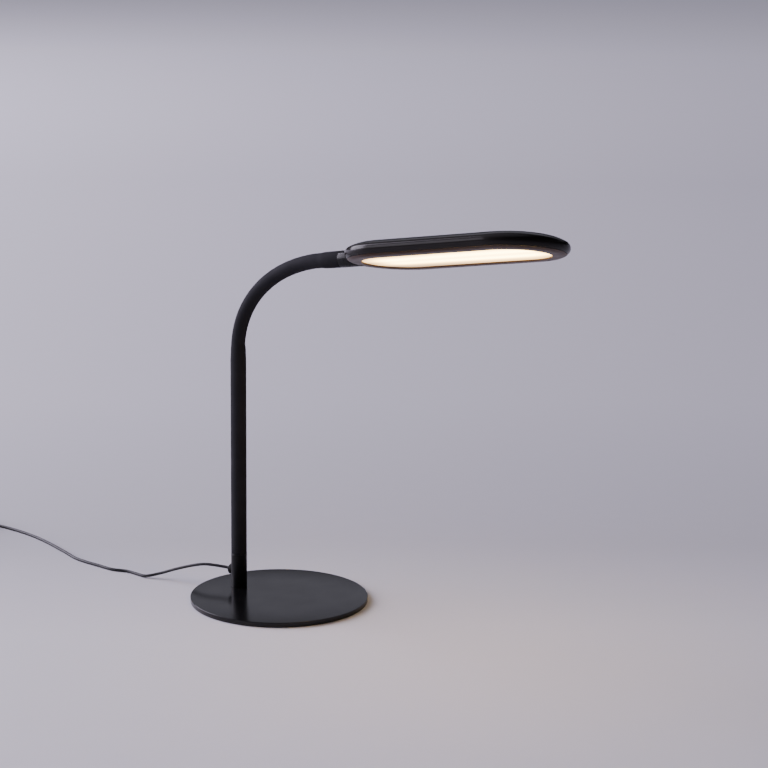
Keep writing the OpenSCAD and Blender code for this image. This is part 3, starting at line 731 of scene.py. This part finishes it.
def make_collar():
    start = SLEEVE_OVER + COLLAR_GAP
    end = HEAD_REACH - POCKET_END - SWIVEL_GAP
    profile = [(COLLAR_BORE_R, SPIGOT_LOW), (SPIGOT_R, SPIGOT_LOW), (SPIGOT_R, start)]
    profile += arc(COLLAR_R - COLLAR_EDGE, start + COLLAR_EDGE, COLLAR_EDGE, -90, 0, 4)
    profile += [(COLLAR_R, (SLEEVE_OVER + end) / 2), (COLLAR_R, end), (NOSE_R, end),
                (NOSE_R, end + NOSE_L), (COLLAR_BORE_R, end + NOSE_L)]
    collar = lathe("neck_collar_turned", profile, NECK_END, HEAD_AXIS, segments=128)
    dress(collar, "collar_gloss", "neck_end", ["neck_collar"])


make_collar()

# ---- head ----

ARC_STEPS = 72
STRAIGHT_STEPS = 24
SEAM_CHAMFER = 0.12 * MM
PAST_HEAD = 0.15            # well past the head's end, for cutters
HOLE_SPAN = (10 * MM, 20 * MM)          # heights that the button's hole runs between
RIM_EDGE = 0.3 * MM
LEDGE_W = 2.1 * MM          # that the diffuser's flange lies on
FLANGE_W = 1.9 * MM
DIFFUSER_GAP = 0.1 * MM
DIFFUSER_EDGE = 0.25 * MM
FLANGE_T = 1.3 * MM
BUTTON_DISH = 0.25 * MM
DISH_SHARE = 0.86           # of the button's radius
BUTTON_EDGE = 0.4 * MM
BUTTON_ROOT = 2.4 * MM      # below the shell's top


def stadium(r, h):
    """A ring round the head's centre line, at one distance from it and one height."""
    points = []
    for end in (1, -1):
        for i in range(ARC_STEPS + 1):
            a = math.pi * (i / ARC_STEPS - 0.5)
            points.append(Vector((end * (HEAD_HALF + r * math.cos(a)), end * r * math.sin(a), h)))
        for i in range(1, STRAIGHT_STEPS):
            x = end * HEAD_HALF * (1 - 2 * i / STRAIGHT_STEPS)
            points.append(Vector((x, end * r, h)))
    return points


def side_arcs():
    """Centres and radii of the arcs above and below the head's rounded side."""
    rise, run = HEAD_T - SIDE_C[1], SIDE_C[0] - TOP_FLAT
    top_r = (run ** 2 + rise ** 2 - SIDE_R ** 2) / (2 * (rise - SIDE_R))
    drop, in_run = SIDE_C[1], SIDE_C[0] - LOW_FLAT
    low_r = (in_run ** 2 + drop ** 2 - SIDE_R ** 2) / (2 * (drop - SIDE_R))
    return (TOP_FLAT, HEAD_T - top_r, top_r), (LOW_FLAT, low_r, low_r)


TOP_ARC, LOW_ARC = side_arcs()


def outline(inset, top_steps=16, side_steps=18, low_steps=8):
    """The head's outline from the edge of its flat top to its flat underside."""
    top = math.degrees(math.atan2(SIDE_C[1] - TOP_ARC[1], SIDE_C[0] - TOP_ARC[0]))
    low = math.degrees(math.atan2(SIDE_C[1] - LOW_ARC[1], SIDE_C[0] - LOW_ARC[0]))
    points = arc(TOP_ARC[0], TOP_ARC[1], TOP_ARC[2] - inset, 90, top, top_steps)
    points += arc(*SIDE_C, SIDE_R - inset, top, low, side_steps)[1:]
    points += arc(LOW_ARC[0], LOW_ARC[1], LOW_ARC[2] - inset, low, -90, low_steps)[1:]
    return points


def cut_at_height(points, height):
    """The part of an outline above a height, with a last point on it."""
    kept = [p for p in points if p[1] > height]
    a, b = kept[-1], points[len(kept)]
    t = (a[1] - height) / (a[1] - b[1])
    return kept + [(a[0] + (b[0] - a[0]) * t, height)]


def around_head(name, profile, closed=True):
    """A piece whose profile of (distance from the centre line, height) runs round the head."""
    verts, faces = skin([stadium(r, h) for r, h in profile], closed)
    obj = add_piece(name, verts, faces)
    obj.matrix_world = HEAD
    return obj


def cut(obj, cutter):
    """Takes one mesh out of another, and deletes the cutter."""
    modifier = obj.modifiers.new("cut", "BOOLEAN")
    modifier.operation = "DIFFERENCE"
    modifier.solver = "EXACT"
    modifier.object = cutter
    evaluated = obj.evaluated_get(bpy.context.evaluated_depsgraph_get())
    mesh = bpy.data.meshes.new_from_object(evaluated)
    obj.modifiers.clear()
    obj.data = mesh
    bpy.data.objects.remove(cutter)
    shade(obj)


def cut_hole(obj, r, start, end, at, direction):
    """Cuts a round hole between two distances along a direction."""
    profile = [(0, start), (r, start), (r, end), (0, end)]
    cut(obj, lathe("cutter", profile, at, direction))


def cut_pocket(obj):
    """Cuts the pocket at the head's end that the collar turns in."""
    cut_hole(obj, POCKET_R, POCKET_END, PAST_HEAD, HEAD @ Vector((0, 0, AXIS_H)), -HEAD_AXIS)


def make_shell():
    outer = cut_at_height(outline(0), SEAM_H + SEAM_GAP)
    inner = cut_at_height(outline(SHELL_WALL, 8, 8, 4), SEAM_H + SEAM_GAP)
    lip = outer[-1]
    outer[-1] = (lip[0] + 0.25 * SEAM_CHAMFER, lip[1] + SEAM_CHAMFER)
    profile = [(0, HEAD_T), (TOP_FLAT * 0.5, HEAD_T)] + outer + [(lip[0] - SEAM_CHAMFER, lip[1])]
    profile += inner[::-1] + [(TOP_FLAT * 0.5, HEAD_T - SHELL_WALL), (0, HEAD_T - SHELL_WALL)]
    shell = around_head("head_shell_gloss", profile, closed=False)
    cut_pocket(shell)
    cut_hole(shell, BUTTON_R + BUTTON_GAP, *HOLE_SPAN, HEAD @ Vector((-BUTTON_AT, 0, 0)), HEAD_UP)
    dress(shell, "shell_gloss", "head", ["head_shell"])


def make_bezel():
    low = [p for p in outline(0) if p[1] < SEAM_H]
    top = cut_at_height(outline(0), SEAM_H)[-1]
    ledge = WINDOW_R + LEDGE_W
    profile = [(top[0] - SEAM_CHAMFER, SEAM_H), (top[0], SEAM_H - SEAM_CHAMFER)] + low
    profile += arc(WINDOW_R + RIM_EDGE, RIM_EDGE, RIM_EDGE, -90, -180, 4)
    profile += [(WINDOW_R, RIM_T), (ledge, RIM_T), (ledge, SEAM_H)]
    bezel = around_head("head_bezel_satin", profile)
    cut_pocket(bezel)
    dress(bezel, "bezel_satin", "head", ["head_bezel"])


def make_diffuser():
    r = WINDOW_R - DIFFUSER_GAP
    flange = WINDOW_R + FLANGE_W
    face, top = DIFFUSER_RECESS, RIM_T + FLANGE_T
    profile = [(0, top), (flange, top), (flange, RIM_T), (r, RIM_T)]
    profile += arc(r - DIFFUSER_EDGE, face + DIFFUSER_EDGE, DIFFUSER_EDGE, 0, -90, 4)
    profile += [(r * 0.6, face), (0, face)]
    panel = around_head("diffuser_panel", profile, closed=False)
    dress(panel, "diffuser_opal", "head", ["diffuser"])


def make_button():
    top, root = HEAD_T + BUTTON_PROUD, HEAD_T - BUTTON_ROOT
    profile = [(BUTTON_R * DISH_SHARE * t, top - BUTTON_DISH * (1 - t * t))
               for t in (0, 0.2, 0.4, 0.6, 0.8, 1.0)]
    profile += arc(BUTTON_R - BUTTON_EDGE, top - BUTTON_EDGE, BUTTON_EDGE, 90, 0, 6)
    profile += [(BUTTON_R, root), (0, root)]
    button = lathe("power_button_cap", profile, Vector((0, 0, 0)), UP)
    button.matrix_world = HEAD @ Matrix.Translation((-BUTTON_AT, 0, 0))
    dress(button, "button_black", "button", ["power_button"])


make_shell()
make_bezel()
make_diffuser()
make_button()

# ---- plug ----

PLUG_EDGE = 1.5 * MM
PLUG_CORNER = 4 * MM
EDGE_RINGS = 6


def rounded_ring(w, h, r, y):
    """A rounded rectangle across the Y axis."""
    points = []
    for k, (sx, sz) in enumerate(((1, 1), (-1, 1), (-1, -1), (1, -1))):
        points += arc(sx * (w / 2 - r), sz * (h / 2 - r), r, 90 * k, 90 * k + 90, 8)
    return [Vector((x, y, z)) for x, z in points]


def make_plug():
    low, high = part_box("plug_case")
    size = high - low
    rings = []
    for i in range(EDGE_RINGS + 1):
        a = math.radians(90 * i / EDGE_RINGS)
        inset = PLUG_EDGE * (1 - math.sin(a))
        rings.append(rounded_ring(size.x - 2 * inset, size.z - 2 * inset,
                                  PLUG_CORNER - inset * 0.8,
                                  size.y / 2 - PLUG_EDGE * (1 - math.cos(a))))
    back = [[Vector((p.x, -p.y, p.z)) for p in ring] for ring in rings[::-1]]
    verts, faces = skin(rings + back)
    count = len(rings[0])
    faces += [tuple(range(count)), tuple(range(len(verts) - count, len(verts)))]
    case = add_piece("plug_case_moulded", verts, faces)
    case.matrix_world.translation = (low + high) / 2
    dress(case, "plug_plastic", "base", ["plug_case"])
    return case


plug = make_plug()
dress(cord, "cord_vinyl", "base", ["cord", "cord_coil", "cord_tail"])

# ---- floor and light ----

TURNED = math.radians(CAMERA_TURN)
AWAY = Vector((-math.sin(TURNED), math.cos(TURNED), 0))
ASIDE = Vector((math.cos(TURNED), math.sin(TURNED), 0))

FLOOR_HALF = 40
FLOOR_TINT = (0.98, 0.97, 1.03)
FLOOR_REACH = (-0.5, 6.5)   # metres behind the lamp that the tones below run between
FLOOR_DRIFT = 0.03          # metres by which they wander
# Painted light and shade in the floor's tone: it dips just behind the lamp where its shade falls, and rises far
# behind it.
FLOOR_PAINTED_LIGHT_TONES = [(0.014, 0.72), (0.057, 0.7), (0.1, 0.53), (0.136, 0.56), (0.2, 0.62), (0.314, 0.63),
               (0.5, 0.66), (0.93, 1.0)]

# Each range below is of the dot product of a direction with the named one.
BAND_STARTS = (0.19, 0.275)     # with UP: the band of light low on the studio's walls
BAND_ENDS = (0.34, 0.52)
OFF_BAND = 0.08                 # the walls' share of its strength below and above it
WALL_TOWARDS = 0.8 * AWAY - 0.8 * ASIDE
WALL_REACH = (-0.2, 0.8)
WALL_DIM = 0.1                  # the band's strength on the camera's side and to the right
WALL_BRIGHT = 0.53              # and behind the lamp to the left
OVERHEAD = -0.25 * ASIDE + 0.1 * AWAY + 0.96 * UP
OVERHEAD_REACH = (0.72, 0.95)
OVERHEAD_BRIGHT = 0.6
STUDIO_TINT = (0.98, 0.96, 1.14, 1)


def make_floor():
    """Paper whose tone changes with the distance behind the lamp: painted shade just behind it, and painted light
    growing into the distance.
    """
    mesh = bpy.data.meshes.new("floor")
    corners = [(x * FLOOR_HALF, y * FLOOR_HALF, 0) for x, y in ((-1, -1), (1, -1), (1, 1), (-1, 1))]
    mesh.from_pydata(corners, [], [(0, 1, 2, 3)])
    floor = bpy.data.objects.new("floor", mesh)
    bpy.context.scene.collection.objects.link(floor)
    look = Look("floor_paper")
    towards = look.add("ShaderNodeVectorMath", operation="DOT_PRODUCT")
    look.links.new(look.coords, towards.inputs[0])
    towards.inputs[1].default_value = AWAY
    drift = look.spread(look.noise(0.8, detail=3), -FLOOR_DRIFT, FLOOR_DRIFT)
    depth = look.spread(look.math("ADD", towards.outputs["Value"], drift), 0, 1, *FLOOR_REACH)
    look.colours(depth, [(at, tuple(tone * c for c in FLOOR_TINT)) for at, tone in FLOOR_PAINTED_LIGHT_TONES])
    look.roughness(look.noise(40), 0.7, 0.8)
    mesh.materials.append(look.mat)


def area_light(name, at, towards, size, power, colour):
    """A rectangle of light that the camera doesn't see."""
    data = bpy.data.lights.new(name, "AREA")
    data.shape = "RECTANGLE"
    data.size, data.size_y = size
    data.energy = power
    data.color = colour
    light = bpy.data.objects.new(name, data)
    light.matrix_world = frame_to(at - towards)
    light.matrix_world.translation = at
    light.visible_camera = False
    bpy.context.scene.collection.objects.link(light)


def make_world():
    """A dark studio with a band of light low on its walls, and soft light overhead."""
    world = bpy.data.worlds.new("studio")
    bpy.context.scene.world = world
    world.use_nodes = True
    nodes, links = world.node_tree.nodes, world.node_tree.links
    coords = nodes.new("ShaderNodeTexCoord")

    def facing(towards, reach, low, high):
        """A smooth step from low to high, as directions turn to one."""
        dot = nodes.new("ShaderNodeVectorMath")
        dot.operation = "DOT_PRODUCT"
        dot.inputs[1].default_value = towards
        links.new(coords.outputs["Generated"], dot.inputs[0])
        step = nodes.new("ShaderNodeMapRange")
        step.interpolation_type = "SMOOTHSTEP"
        set_range(step, *reach, low, high)
        links.new(dot.outputs["Value"], step.inputs["Value"])
        return step.outputs["Result"]

    def combined(operation, *values):
        node = nodes.new("ShaderNodeMath")
        node.operation = operation
        for value, socket in zip(values, node.inputs):
            links.new(value, socket)
        return node.outputs["Value"]

    band = combined("MULTIPLY", facing(UP, BAND_STARTS, OFF_BAND, 1),
                    facing(UP, BAND_ENDS, 1, OFF_BAND))
    walls = facing(WALL_TOWARDS, WALL_REACH, WALL_DIM, WALL_BRIGHT)
    overhead = facing(OVERHEAD, OVERHEAD_REACH, 0, OVERHEAD_BRIGHT)
    background = nodes["Background"]
    background.inputs["Color"].default_value = STUDIO_TINT
    links.new(combined("MULTIPLY_ADD", band, walls, overhead), background.inputs["Strength"])


def studio_place(right, away, up):
    """A place by its distance to the right of the lamp, behind it and above the floor."""
    return right * ASIDE + away * AWAY + up * UP


make_floor()
make_world()
area_light("key", at=studio_place(-4.7, 2.4, 2.1), towards=studio_place(-0.5, 2, 0),
           size=(5, 4), power=595, colour=(1.0, 0.92, 1.13))
area_light("left_fill", at=studio_place(-1.9, -0.1, 1.05), towards=studio_place(0, 0, 0.3),
           size=(1.2, 1.4), power=21, colour=(1.0, 0.94, 1.08))
